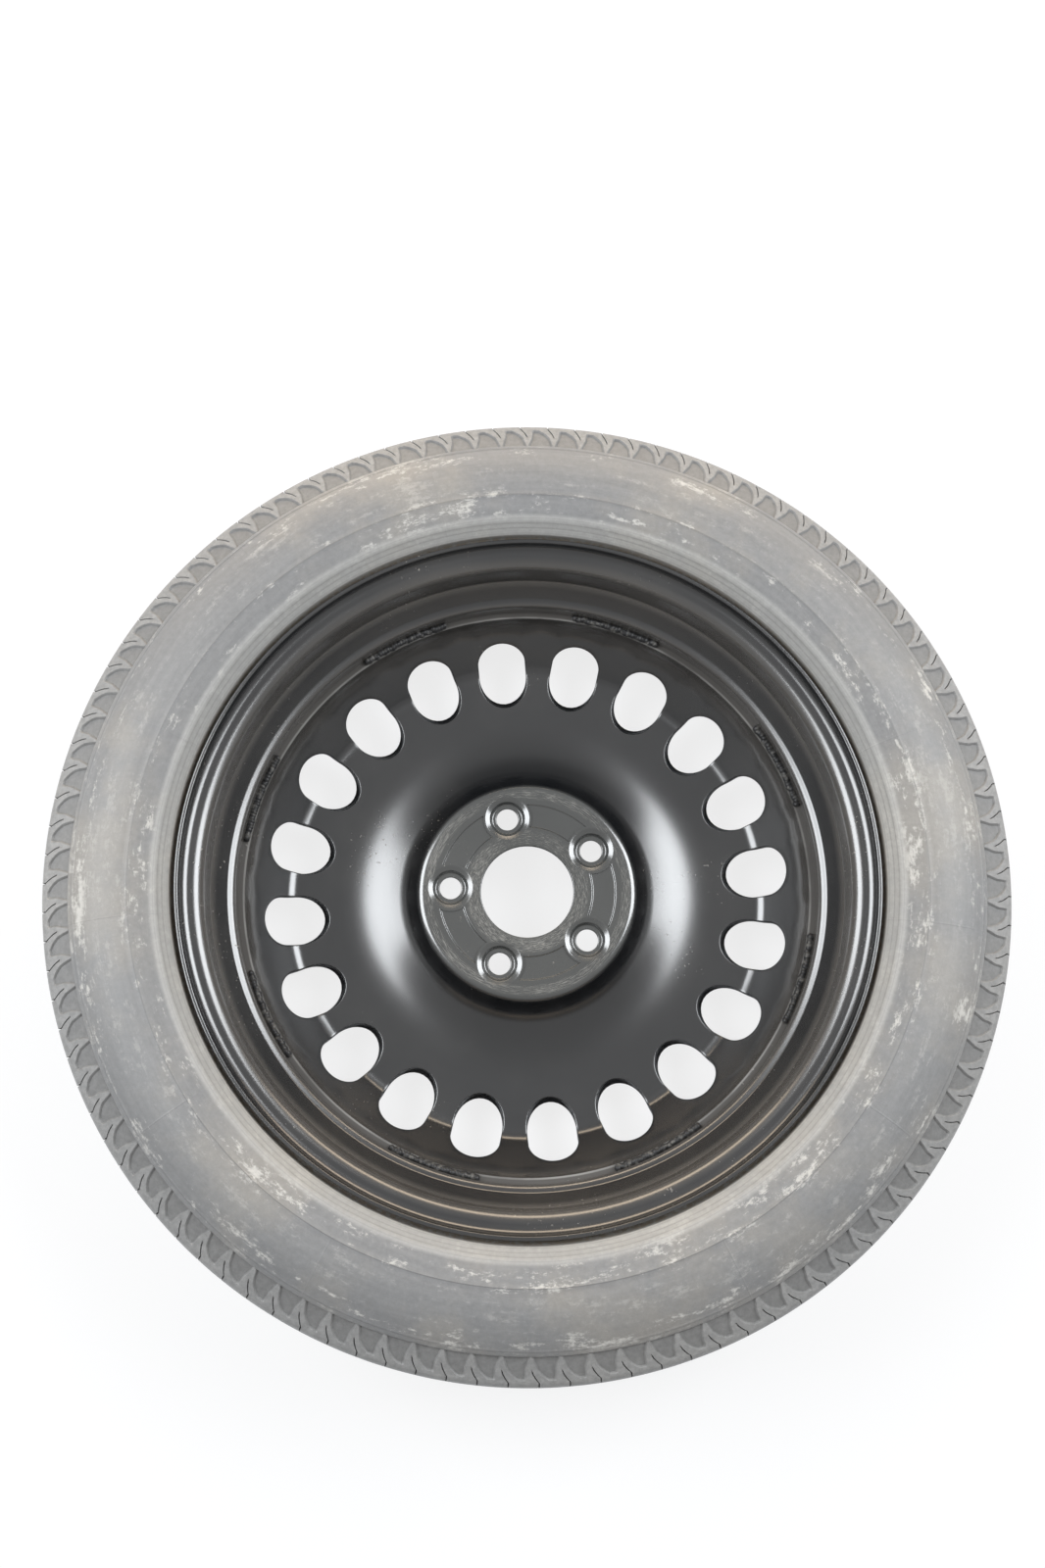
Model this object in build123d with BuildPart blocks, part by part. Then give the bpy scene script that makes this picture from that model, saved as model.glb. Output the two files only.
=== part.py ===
"""Space saver spare wheel: a narrow temporary tyre on a welded steel wheel.

Millimetres, with the axle along Z and the origin at the wheel's centre. The wheel lies on its outer
side, so the face that bolts to the hub looks up. A section is drawn as radius and height.
"""
import os
from math import cos, radians, sin, sqrt, tan

from build123d import *
from build123d.topology import SkipClean

os.makedirs("parts", exist_ok=True)

# Tyre size: 155 section, 70 profile, 17 inch rim
tyre_section = 155.0
tyre_profile = 0.70
rim_diameter = 431.8
tyre_half_width = 75.0
tread_drop = 3.0
tread_depth = 12.0
groove_plane = 17.0
groove_width = 8.0
groove_depth = 4.5
shoulder_width = 28.0
shoulder_share = 0.22212
sector_count = 8
sector_pockets = 13
pocket_length = 16.4
pocket_width = 14.0
pocket_depth = 1.5
pocket_from_ridge = 1.2
bow_share = 0.494009
widest_share = 0.308756
sidewall_wall = 6.5
rib_from_flange = 10.5

# Rim: 4 inches between the flanges, 5 degree bead seats, drop centre well
rim_half_width = 50.8
bead_seat_rise = 2.4
bead_seat_taper = tan(radians(5))
flange_height = 14.2
flange_lip = 11.5
rim_sheet = 3.0
hump_height = 1.1
hump_from_flange = 22.5
well_depth = 15.7

# Disc: 5 bolts on 108, centre bore 65.1, face 15 outside the rim's middle
bolt_count = 5
bolt_circle = 108.0
bolt_hole = 15.5
centre_bore = 65.1
wheel_offset = 15.0
disc_sheet = 4.2
pad_radius = 77.0
pad_band = 17.0
wall_width = 4.35
wall_drop = 16.9
wall_bend = 22.0
dish_width = 37.0
dish_bend = 80.0
disc_floor = 30.75
crease_from_well = 31.6
crease_rise = 4.25
crease_bend = 12.0
window_count = 20
window_length = 45.0
window_width = 34.5
window_lean = 40.0
weld_count = 8
weld_arc = 17.5

# How the wheel is turned about its axle as it lies: the first bolt hole, from +X
wheel_turn = 104.9
window_turn = wheel_turn + 180 / window_count
weld_turn = wheel_turn + 11.3
valve_turn = wheel_turn + 180

# Valve, along its own axis from the rim's outer face
valve_hole = 11.3
valve_rubber_length = 21.0
stem_length = 31.0
stem_thread = 7.7
core_bore = 4.8
pin_travel = 1.5
moving_gap = 0.3
valve_squeeze = 0.3
heel_gap = 0.4

# Sizes that follow
sidewall_height = tyre_section * tyre_profile
tyre_radius = rim_diameter / 2 + sidewall_height
shoulder_depth = sidewall_height * shoulder_share
sidewall_bow = sidewall_height * bow_share
widest_from_flange = sidewall_height * widest_share
bead_seat_radius = rim_diameter / 2 + bead_seat_rise
flange_radius = bead_seat_radius + flange_height
lip_plane = rim_half_width + flange_lip
hump_radius = bead_seat_radius - bead_seat_taper * hump_from_flange + hump_height
well_radius = bead_seat_radius - well_depth
well_inside = well_radius - rim_sheet
hump_plane = rim_half_width - hump_from_flange
well_edge = hump_plane - (hump_radius - well_radius)
pad_plane = -wheel_offset


def section_plane(angle):
    """The plane through the axle at an angle from +X, with radius along its x and height along its y."""
    a = radians(angle)
    return Plane(origin=(0, 0, 0), x_dir=(cos(a), sin(a), 0), z_dir=(sin(a), -cos(a), 0))


def corner_turns(path):
    """Each corner of a bent path: its point, bend radius and the directions in and out of it."""
    turns = []
    for before, here, after in zip(path, path[1:], path[2:]):
        arriving = Vector(here[0] - before[0], here[1] - before[1]).normalized()
        leaving = Vector(after[0] - here[0], after[1] - here[1]).normalized()
        turns.append((Vector(here[0], here[1]), here[2], arriving, leaving))
    return turns


def right_of(direction):
    return Vector(direction.Y, -direction.X)


def moved_path(path, distance):
    """A bent path moved to the right of its travel, with every bend kept concentric."""
    turns = corner_turns(path)
    first = Vector(*path[0][:2]) + right_of(turns[0][2]) * distance
    last = Vector(*path[-1][:2]) + right_of(turns[-1][3]) * distance
    moved = [(first.X, first.Y)]
    for point, bend, arriving, leaving in turns:
        side = right_of(arriving) + right_of(leaving)
        corner = point + side * (distance / (1 + arriving.dot(leaving)))
        turns_left = arriving.cross(leaving).Z > 0
        moved.append((corner.X, corner.Y, bend + distance if turns_left else bend - distance))
    moved.append((last.X, last.Y))
    return moved


def bent_line(path):
    """Draw a path of straight runs and round bends in the line being built."""
    pen = Vector(*path[0][:2])
    for point, bend, arriving, leaving in corner_turns(path):
        half_turn = arriving.get_angle(leaving) / 2
        reach = bend * tan(radians(half_turn))
        start = point - arriving * reach
        end = point + leaving * reach
        inward = (leaving - arriving).normalized()
        middle = point + inward * (bend / cos(radians(half_turn)) - bend)
        if (start - pen).length > 1e-4:
            Line(pen, start)
        ThreePointArc(start, middle, end)
        pen = end
    Line(pen, Vector(*path[-1][:2]))


def sheet_outline(path, thickness):
    """Draw the closed section of a bent sheet: the path is its left face."""
    other = moved_path(path, thickness)
    bent_line(path)
    Line(path[-1][:2], other[-1][:2])
    bent_line(other[::-1])
    Line(other[0][:2], path[0][:2])


# Rim: one rolled hoop, the tyre's face drawn from the upper lip to the lower lip
seat_end = bead_seat_radius - bead_seat_taper * (hump_from_flange - 4)
upper_half = [
    (flange_radius, lip_plane),
    (flange_radius, rim_half_width, 7.5),
    (bead_seat_radius, rim_half_width, 6.0),
    (seat_end, hump_plane + 4, 6.0),
    (hump_radius, hump_plane, 4.5),
    (well_radius, well_edge, 9.0),
]
lower_half = [(point[0], -point[1], *point[2:]) for point in upper_half[::-1]]

# The valve sits square in the lower slope of the well
slope_radius = (well_radius + hump_radius) / 2
slope_height = -(well_edge + hump_plane) / 2
slope_angle = radians(valve_turn)
valve_axis_dir = Vector(-cos(slope_angle), -sin(slope_angle), -1).normalized()
valve_tangent = Vector(-sin(slope_angle), cos(slope_angle), 0)
valve_origin = (
    Vector(slope_radius * cos(slope_angle), slope_radius * sin(slope_angle), slope_height)
    + valve_axis_dir * rim_sheet
)
valve_axis = Axis(valve_origin, valve_axis_dir)
valve_face = Plane(origin=valve_origin, x_dir=valve_tangent, z_dir=valve_axis_dir)
valve_section = Plane(
    origin=valve_origin, x_dir=valve_tangent, z_dir=valve_tangent.cross(valve_axis_dir)
)

with BuildPart() as rim:
    with BuildSketch(Plane.XZ):
        with BuildLine():
            sheet_outline(upper_half + lower_half, rim_sheet)
        make_face()
    revolve(axis=Axis.Z)
    with BuildSketch(valve_face):
        Circle(valve_hole / 2)
    extrude(amount=2 * rim_sheet, both=True, mode=Mode.SUBTRACT)
rim.part.label = "rim"
export_step(rim.part, "parts/rim.step")

# Tyre: half its section from the crown round the bead and back inside, mirrored and turned in sectors
tread_edge = tyre_half_width - shoulder_width
ridge_radius = tyre_radius - shoulder_depth
rib_radius = flange_radius + rib_from_flange
sidewall_radius = flange_radius + widest_from_flange
bow_centre = tyre_half_width - sidewall_bow
inner_bow = sidewall_bow - sidewall_wall
inner_low = sidewall_radius - 10
inner_high = ridge_radius - 8.3
toe_plane = rim_half_width - 14.8


def bow_height(radius, bow):
    """Height of the bowed sidewall at a radius from the axle."""
    return bow_centre + sqrt(bow**2 - (radius - sidewall_radius) ** 2)


outside = [
    (tyre_radius - tread_drop, tread_edge),
    (tyre_radius - 4.6, tread_edge + 5.5, 5.0),
    (ridge_radius + 1.0, bow_height(ridge_radius, sidewall_bow) - 1.4),
]
bead = [
    (rib_radius - 0.8, bow_height(rib_radius, sidewall_bow) - 1.2),
    (flange_radius + 3.1, lip_plane - 0.8, 3.0),
    (flange_radius + 2.0, rim_half_width, 8.5),
    (bead_seat_radius, rim_half_width, 6.0 + heel_gap),
    (bead_seat_radius - bead_seat_taper * (rim_half_width - toe_plane), toe_plane, 2.0),
    (bead_seat_radius + 3.2, toe_plane - 2.5, 3.0),
    (bead_seat_radius + 15.2, toe_plane + 1.5, 14.0),
    (rib_radius + 3.5, tyre_half_width - 9.7, 16.0),
    (inner_low, bow_height(inner_low, inner_bow)),
]
inside = [
    (inner_high, bow_height(inner_high, inner_bow)),
    (tyre_radius - 15.4, tread_edge + 2.4, 14.0),
    (tyre_radius - tread_depth, 0),
]

with BuildPart() as tyre_sector:
    with BuildSketch(Plane.XZ):
        with BuildLine():
            ThreePointArc(
                (tyre_radius, 0),
                (tyre_radius - tread_drop / 4, tread_edge / 2),
                outside[0],
            )
            bent_line(outside)
            Line(outside[-1], (ridge_radius, bow_height(ridge_radius, sidewall_bow)))
            ThreePointArc(
                (ridge_radius, bow_height(ridge_radius, sidewall_bow)),
                (sidewall_radius, tyre_half_width),
                (rib_radius, bow_height(rib_radius, sidewall_bow)),
            )
            Line((rib_radius, bow_height(rib_radius, sidewall_bow)), bead[0])
            bent_line(bead)
            ThreePointArc(bead[-1], (sidewall_radius, bow_centre + inner_bow), inside[0])
            bent_line(inside)
            mirror(about=Plane.XZ)
        make_face()
    revolve(axis=Axis.Z, revolution_arc=360 / sector_count)
    with BuildSketch(Plane.XZ):
        with Locations((tyre_radius, groove_plane), (tyre_radius, -groove_plane)):
            groove_mouth = groove_width + 2 * groove_depth / tan(radians(75))
            Trapezoid(groove_mouth, 2 * groove_depth, 75, rotation=90)
    revolve(axis=Axis.Z, mode=Mode.SUBTRACT)
    # Shallow pockets round both shoulders, their square ends towards the ridge
    for side in (1, -1):
        for index in range(sector_pockets):
            turn = section_plane((index + 0.5) * 360 / sector_count / sector_pockets)
            foot = Vector(outside[-1][0], side * outside[-1][1])
            rise = Vector(outside[-2][0], side * outside[-2][1]) - foot
            across = turn.x_dir * rise.X + turn.y_dir * rise.Y
            inward = across.cross(turn.z_dir).normalized() * side
            above = turn.from_local_coords(foot) - inward * pocket_depth
            with BuildSketch(Plane(above, across, inward)):
                with BuildLine():
                    end = pocket_from_ridge
                    tip = pocket_length - pocket_width / 2
                    Line((end, -pocket_width / 2), (tip, -pocket_width / 2))
                    ThreePointArc(
                        (tip, -pocket_width / 2), (pocket_length, 0), (tip, pocket_width / 2)
                    )
                    Line((tip, pocket_width / 2), (end, pocket_width / 2))
                    Line((end, pocket_width / 2), (end, -pocket_width / 2))
                make_face()
    extrude(amount=2 * pocket_depth, mode=Mode.SUBTRACT)

with BuildPart() as tyre:
    with SkipClean(), PolarLocations(0, sector_count):
        add(tyre_sector.part, clean=False)
tyre.part.label = "tyre"
export_step(tyre.part, "parts/tyre.step")

# Disc: pressed from one sheet, the face seen from the hub drawn from the bore to the welded edge
crease_radius = well_inside - crease_from_well
crease_plane = pad_plane - disc_floor + crease_rise
disc_flange = well_inside - disc_sheet
disc_edge = 1.0
disc_face = [
    (centre_bore / 2, pad_plane),
    (pad_radius, pad_plane, 6.0),
    (pad_radius + wall_width, pad_plane - wall_drop, wall_bend),
    (pad_radius + dish_width, pad_plane - disc_floor, dish_bend),
    (crease_radius, crease_plane, crease_bend),
    (disc_flange, crease_plane + disc_flange - crease_radius, 16.0),
    (disc_flange, disc_edge),
]

# Bolt seat: the sheet drawn down round each hole, with a cone for the bolt underneath
seat_radius = 17.0
seat_drop = 4.5
seat_face = [
    (bolt_hole / 2, -seat_drop),
    (11.2, -seat_drop, 1.5),
    (13.6, 0, 4.5),
    (seat_radius, 0),
]

with BuildPart() as bolt_seat:
    with BuildSketch(Plane.XZ):
        with BuildLine():
            sheet_outline(seat_face, disc_sheet)
        make_face()
    revolve(axis=Axis.Z)
    with BuildSketch(Plane.XY.offset(-seat_drop - disc_sheet)):
        Circle(bolt_hole / 2 + 2.4 * tan(radians(30)))
    extrude(amount=2.4, taper=30, mode=Mode.SUBTRACT)

window_middle = (crease_radius - 4.2, crease_plane + 7.2)

with BuildPart() as wheel_disc:
    with BuildSketch(Plane.XZ):
        with BuildLine():
            sheet_outline(disc_face, disc_sheet)
        make_face()
    revolve(axis=Axis.Z)
    # A shallow band between the two rings that touch the hub
    with BuildSketch(Plane.XZ):
        with Locations((bolt_circle / 2, pad_plane)):
            Trapezoid(pad_band, 2, 50, rotation=180)
    revolve(axis=Axis.Z, mode=Mode.SUBTRACT)
    with BuildSketch(Plane.XY.offset(pad_plane)):
        with PolarLocations(bolt_circle / 2, bolt_count, start_angle=wheel_turn):
            Circle(seat_radius)
    extrude(amount=2 * disc_sheet, both=True, mode=Mode.SUBTRACT)
    with Locations((0, 0, pad_plane)):
        with PolarLocations(bolt_circle / 2, bolt_count, start_angle=wheel_turn):
            add(bolt_seat.part)
    for index in range(window_count):
        turn = section_plane(window_turn + index * 360 / window_count)
        lean = radians(window_lean)
        punch = turn.from_local_coords(Vector(-sin(lean), cos(lean), 0))
        along = turn.from_local_coords(Vector(cos(lean), sin(lean), 0))
        with BuildSketch(Plane(turn.from_local_coords(window_middle), along, punch)):
            SlotOverall(window_length, window_width)
    extrude(amount=16, both=True, mode=Mode.SUBTRACT)
wheel_disc.part.label = "wheel_disc"
export_step(wheel_disc.part, "parts/wheel_disc.step")

# Weld beads: short runs that join the disc's edge to the rim's well
bead_leg = 4.2
with BuildPart() as weld_beads:
    for index in range(weld_count):
        start = weld_turn + index * 360 / weld_count - weld_arc / 2
        with BuildSketch(section_plane(start)):
            with BuildLine():
                Line((well_inside - 3.6, disc_edge), (well_inside, disc_edge))
                Line((well_inside, disc_edge), (well_inside, disc_edge + bead_leg))
                ThreePointArc(
                    (well_inside, disc_edge + bead_leg),
                    (well_inside - 2.5, disc_edge + 2.9),
                    (well_inside - 3.6, disc_edge),
                )
            make_face()
        revolve(axis=Axis.Z, revolution_arc=weld_arc)
weld_beads.part.label = "weld_beads"
export_step(weld_beads.part, "parts/weld_beads.step")

# Valve: rubber body snapped into the rim, brass stem, core with its sprung pin, and cap
cup_top = 10.7
core_foot = 11.0
core_top = 29.8
spring_seat = 13.0
collar_foot = 20.0


def turned_piece(label, profile):
    """Turn a half section, given as radius and distance along the valve, about the valve's axis."""
    with BuildPart() as piece:
        with BuildSketch(valve_section):
            with BuildLine():
                Polyline(*profile, close=True)
            make_face()
        revolve(axis=valve_axis)
    piece.part.label = label
    export_step(piece.part, f"parts/{label}.step")


turned_piece(
    "valve_body",
    [
        (3.1, -11),
        (6.6, -11),
        (9.5, -5),
        (9.2, -rim_sheet - valve_squeeze),
        (valve_hole / 2, -rim_sheet - valve_squeeze),
        (valve_hole / 2, valve_squeeze),
        (7.7, valve_squeeze),
        (7.7, 1.8),
        (6.4, 6),
        (4.6, valve_rubber_length),
        (3.1, valve_rubber_length),
    ],
)

turned_piece(
    "valve_stem",
    [
        (1.6, -11),
        (3.1, -11),
        (3.1, valve_rubber_length),
        (stem_thread / 2, valve_rubber_length),
        (stem_thread / 2, stem_length - 0.6),
        (stem_thread / 2 - 0.6, stem_length),
        (core_bore / 2, stem_length),
        (core_bore / 2, 4),
        (1.6, 4),
    ],
)

pin_radius = 0.7
turned_piece(
    "core_body",
    [
        (pin_radius + moving_gap, core_foot),
        (core_bore / 2 - 0.3, core_foot),
        (core_bore / 2, core_foot + 2),
        (core_bore / 2, core_top),
        (pin_radius + moving_gap, core_top),
        (pin_radius + moving_gap, core_top - 3),
        (1.9, core_top - 3),
        (1.9, spring_seat),
        (pin_radius + moving_gap, spring_seat),
    ],
)

turned_piece(
    "core_pin",
    [
        (0, cup_top - 3.2),
        (1.5, cup_top - 3.2),
        (1.9, cup_top - 1),
        (1.9, cup_top),
        (pin_radius, cup_top),
        (pin_radius, collar_foot),
        (1.5, collar_foot),
        (1.5, collar_foot + 1),
        (pin_radius, collar_foot + 1),
        (pin_radius, stem_length - 0.4),
        (0, stem_length - 0.4),
    ],
)

spring_wire = 0.3
with BuildPart() as core_spring:
    with BuildLine():
        coil = Helix(
            pitch=1.1,
            height=collar_foot - spring_seat - 2 * spring_wire,
            radius=1.35,
            center=valve_origin + valve_axis_dir * (spring_seat + spring_wire),
            direction=valve_axis_dir,
        )
    with BuildSketch(Plane(origin=coil @ 0, z_dir=coil % 0)):
        Circle(spring_wire / 2)
    sweep(path=coil)
core_spring.part.label = "core_spring"
export_step(core_spring.part, "parts/core_spring.step")

cap_foot = valve_rubber_length + moving_gap
turned_piece(
    "valve_cap",
    [
        (stem_thread / 2 + moving_gap, cap_foot),
        (5.2, cap_foot),
        (5.2, stem_length + 2),
        (4.4, stem_length + 2.6),
        (0, stem_length + 2.6),
        (0, stem_length + 0.8),
        (stem_thread / 2 + moving_gap, stem_length + 0.8),
    ],
)
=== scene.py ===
"""Space saver spare wheel: a narrow tyre on a welded black steel wheel, lying on its outer side.

Metres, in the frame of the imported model: the axle along Z and the hub side up. Sections are drawn in
millimetres, as radius and height, and become metres where a mesh is made.
"""

from math import atan2, ceil, copysign, cos, pi, radians, sin, sqrt, tan

import bmesh
import bpy
import numpy as np
from mathutils import Matrix, Vector


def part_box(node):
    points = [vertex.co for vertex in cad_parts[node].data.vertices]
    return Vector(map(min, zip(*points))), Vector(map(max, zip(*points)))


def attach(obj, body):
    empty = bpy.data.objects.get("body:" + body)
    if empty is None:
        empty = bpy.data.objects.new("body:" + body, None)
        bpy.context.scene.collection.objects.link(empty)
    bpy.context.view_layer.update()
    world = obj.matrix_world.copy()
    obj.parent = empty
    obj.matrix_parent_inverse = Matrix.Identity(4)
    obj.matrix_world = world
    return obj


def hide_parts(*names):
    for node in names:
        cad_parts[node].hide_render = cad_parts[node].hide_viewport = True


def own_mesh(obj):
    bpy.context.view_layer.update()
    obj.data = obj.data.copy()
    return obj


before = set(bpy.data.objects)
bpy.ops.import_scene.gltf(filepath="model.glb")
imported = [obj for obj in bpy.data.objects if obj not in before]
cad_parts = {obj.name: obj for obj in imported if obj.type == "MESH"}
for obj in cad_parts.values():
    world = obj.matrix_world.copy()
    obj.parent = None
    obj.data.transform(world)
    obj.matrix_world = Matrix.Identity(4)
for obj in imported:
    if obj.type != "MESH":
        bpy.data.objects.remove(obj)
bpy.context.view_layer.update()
MM = 0.001
steel_edge = radians(40)
rubber_edge = radians(32)

# Main sizes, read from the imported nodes
tyre_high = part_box("tyre")[1] / MM
rim_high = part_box("rim")[1] / MM
tyre_radius = tyre_high.x
tyre_half_width = tyre_high.z
flange_radius = rim_high.x
lip_plane = rim_high.z

# Rim section
rim_half_width = 50.8
bead_seat_radius = 218.3
hump_plane = 28.3
hump_radius = 217.43
well_radius = 202.6
well_edge = 13.47
rim_sheet = 3.0
rim_edge = 1.1
seat_taper = tan(radians(5))
well_inside = well_radius - rim_sheet

# Disc section, bolt seats and windows
disc_sheet = 4.2
disc_edge = 1.0
pad_plane = -15.0
pad_radius = 77.0
wall_corner = (81.35, -31.9, 22.0)
dish_corner = (114.0, -45.75, 80.0)
centre_bore_radius = 32.55
crease_radius = 168.0
crease_plane = -41.5
disc_flange = well_inside - disc_sheet
band_inner, band_outer, band_depth = 45.5, 62.5, 1.0
bolt_count = 5
bolt_circle_radius = 54.0
bolt_hole_radius = 7.75
seat_radius = 17.0
seat_drop = 4.5
window_count = 20
window_length = 45.0
window_width = 34.5
window_lean = radians(40)
window_middle = (163.8, -34.3)
weld_count = 8
weld_arc = radians(17.5)

# How the wheel is turned about its axle as it lies
wheel_turn = radians(104.9)
window_turn = wheel_turn + pi / window_count
weld_turn = wheel_turn + radians(11.3)

# Tread and casing
pitch_count = 104
tread_edge = tyre_half_width - 28
tread_drop = 3.0
groove_plane = 17.0
groove_width = 8.0
groove_depth = 4.5
sipe_depth = 2.6
crown_sipe_depth = 1.2
sipe_lean = 5.0
pocket_depth = 1.5
pocket_half_width = 7.8
pocket_tip_width = 1.6
ridge_radius = tyre_radius - 24.1
sidewall_radius = 266.0
sidewall_bow = 53.6
rib_radius = 243.0
bead_width = 14.8


class Value:
    """An output of a node. Arithmetic on values adds the Math nodes that work it out."""

    def __init__(self, graph, socket):
        self.graph = graph
        self.socket = socket

    def __add__(self, other):
        return self.graph.maths("ADD", self, other)

    __radd__ = __add__

    def __sub__(self, other):
        return self.graph.maths("SUBTRACT", self, other)

    def __rsub__(self, other):
        return self.graph.maths("SUBTRACT", other, self)

    def __mul__(self, other):
        return self.graph.maths("MULTIPLY", self, other)

    __rmul__ = __mul__

    def __truediv__(self, other):
        return self.graph.maths("DIVIDE", self, other)

    def __rtruediv__(self, other):
        return self.graph.maths("DIVIDE", other, self)

    def __pow__(self, other):
        return self.graph.maths("POWER", self, other)

    def clamped(self):
        return self.graph.node("ShaderNodeClamp", inputs={0: self})


class Graph:
    """A node tree that is written as expressions."""

    def __init__(self, tree):
        self.tree = tree

    def node(self, kind, settings=None, inputs=None, output=0):
        """Add a node: its settings first, then the values or links of its sockets."""
        made = self.tree.nodes.new(kind)
        for name, value in (settings or {}).items():
            setattr(made, name, value)
        for key, value in (inputs or {}).items():
            if isinstance(value, Value):
                self.tree.links.new(value.socket, made.inputs[key])
            else:
                made.inputs[key].default_value = value
        return Value(self, made.outputs[output]) if made.outputs else None

    def maths(self, operation, *values):
        return self.node("ShaderNodeMath", {"operation": operation}, dict(enumerate(values)))

    def mixed(self, share, first, second):
        """A colour between two colours."""
        ends = [end if isinstance(end, Value) else (*end, 1.0) for end in (first, second)]
        return self.node(
            "ShaderNodeMix", {"data_type": "RGBA"}, {0: share, 6: ends[0], 7: ends[1]}, output=2
        )

    def vector(self, x, y, z):
        return self.node("ShaderNodeCombineXYZ", inputs={0: x, 1: y, 2: z})

    def here(self):
        """The point itself, in the object's own coordinates."""
        return self.node("ShaderNodeTexCoord", output="Object")

    def place(self):
        """Where a point is on the wheel: the vector, its radius, angle and height."""
        here = self.here()
        split = self.node("ShaderNodeSeparateXYZ", inputs={0: here})
        x, y, height = (Value(self, socket) for socket in split.socket.node.outputs)
        radius = (x * x + y * y) ** 0.5
        return here, radius, self.maths("ARCTAN2", y, x), height

    def noise(self, where, scale, detail=4.0, roughness=0.55):
        return self.node(
            "ShaderNodeTexNoise",
            inputs={"Vector": where, "Scale": scale, "Detail": detail, "Roughness": roughness},
        )

    def step(self, value, low, high):
        """0 below low, 1 above high, smooth between."""
        return self.node(
            "ShaderNodeMapRange",
            {"interpolation_type": "SMOOTHSTEP"},
            {0: value, 1: low, 2: high, 3: 0.0, 4: 1.0},
        )

    def band(self, value, low, high, soft):
        """1 between low and high, falling to 0 over a soft edge on each side."""
        return self.step(value, low - soft, low + soft) * (1 - self.step(value, high - soft, high + soft))


def finish(name, **constants):
    """A material with one Principled shader, and the graph to write it in."""
    material = bpy.data.materials.new(name)
    material.use_nodes = True
    graph = Graph(material.node_tree)
    shader = material.node_tree.nodes["Principled BSDF"]
    for socket, value in constants.items():
        shader.inputs[socket.replace("_", " ")].default_value = value
    return material, graph, shader


def feed(graph, shader, **values):
    """Link what changes over the surface to the shader."""
    for socket, value in values.items():
        graph.tree.links.new(value.socket, shader.inputs[socket.replace("_", " ")])


# Sections


def unit(direction):
    return direction / np.hypot(*direction)


def unit3(direction):
    return np.asarray(direction) / np.linalg.norm(direction)


def corner_turns(corners, closed):
    """Each corner of a section: its point, bend and the directions into and out of it."""
    count = len(corners)
    inner = range(count) if closed else range(1, count - 1)
    for index in inner:
        before, here, after = (
            np.array(corners[(index + shift) % count][:2], float) for shift in (-1, 0, 1)
        )
        bend = corners[index][2] if len(corners[index]) > 2 else 0.0
        yield index, here, bend, unit(here - before), unit(after - here)


def rounded(corners, closed=False, step=radians(6)):
    """The points of a section whose corners, given as radius, height and bend, are rounded."""
    points = [] if closed else [np.array(corners[0][:2], float)]
    for _, here, bend, arriving, leaving in corner_turns(corners, closed):
        turn = atan2(arriving[0] * leaving[1] - arriving[1] * leaving[0], arriving @ leaving)
        if bend == 0 or abs(turn) < 1e-4:
            points.append(here)
            continue
        start = here - arriving * bend * tan(abs(turn) / 2)
        centre = start + np.array([-arriving[1], arriving[0]]) * copysign(bend, turn)
        spoke = start - centre
        steps = max(2, ceil(abs(turn) / step))
        for angle in np.linspace(0, turn, steps + 1):
            c, s = cos(angle), sin(angle)
            points.append(centre + (c * spoke[0] - s * spoke[1], s * spoke[0] + c * spoke[1]))
    if not closed:
        points.append(np.array(corners[-1][:2], float))
    return np.array(points)


def moved(corners, distance):
    """A section moved to the right of its travel, with every bend kept concentric."""
    result = []
    right = None
    for index, here, bend, arriving, leaving in corner_turns(corners, False):
        right_in = np.array([arriving[1], -arriving[0]])
        right = np.array([leaving[1], -leaving[0]])
        if index == 1:
            result.append(tuple(np.array(corners[0][:2]) + right_in * distance))
        corner = here + (right_in + right) * (distance / (1 + arriving @ leaving))
        turns_left = arriving[0] * leaving[1] - arriving[1] * leaving[0] > 0
        new_bend = bend + distance if turns_left else bend - distance
        result.append((*corner, max(new_bend, 0.2) if bend else 0.0))
    result.append(tuple(np.array(corners[-1][:2]) + right * distance))
    return result


def sheet_section(face, thickness, edge):
    """The closed section of a bent sheet from its left face, with its two cut edges eased."""
    other = moved(face, thickness)
    ends = [(*corner[:2], edge) for corner in (face[0], face[-1], other[-1], other[0])]
    return [ends[0], *face[1:-1], ends[1], ends[2], *other[-2:0:-1], ends[3]]


# Meshes


def bare_mesh(name, points, faces):
    """A mesh in metres from points in millimetres."""
    mesh = bpy.data.meshes.new(name)
    mesh.from_pydata((np.asarray(points) * MM).tolist(), [], faces)
    return mesh


def face_outwards(mesh):
    """Turn every face of a closed mesh outwards and shade it smooth."""
    shell = bmesh.new()
    shell.from_mesh(mesh)
    bmesh.ops.recalc_face_normals(shell, faces=shell.faces)
    shell.to_mesh(mesh)
    shell.free()
    mesh.shade_smooth()


def smooth_mesh(name, points, faces, sharp=steel_edge):
    """A mesh that faces outwards and is smooth up to an angle."""
    mesh = bare_mesh(name, points, faces)
    face_outwards(mesh)
    mesh.set_sharp_from_angle(angle=sharp)
    return mesh


def piece(name, mesh, material):
    """An object at the origin with one material."""
    made = bpy.data.objects.new(name, mesh)
    bpy.context.scene.collection.objects.link(made)
    mesh.materials.clear()
    mesh.materials.append(material)
    return made


def grid_faces(rows, columns, close_rows, close_columns):
    """The quads of a grid of points that are numbered row by row."""
    faces = []
    for row in range(rows if close_rows else rows - 1):
        for column in range(columns if close_columns else columns - 1):
            right = (column + 1) % columns
            below = (row + 1) % rows
            faces.append(
                (
                    row * columns + column,
                    row * columns + right,
                    below * columns + right,
                    below * columns + column,
                )
            )
    return faces


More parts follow.
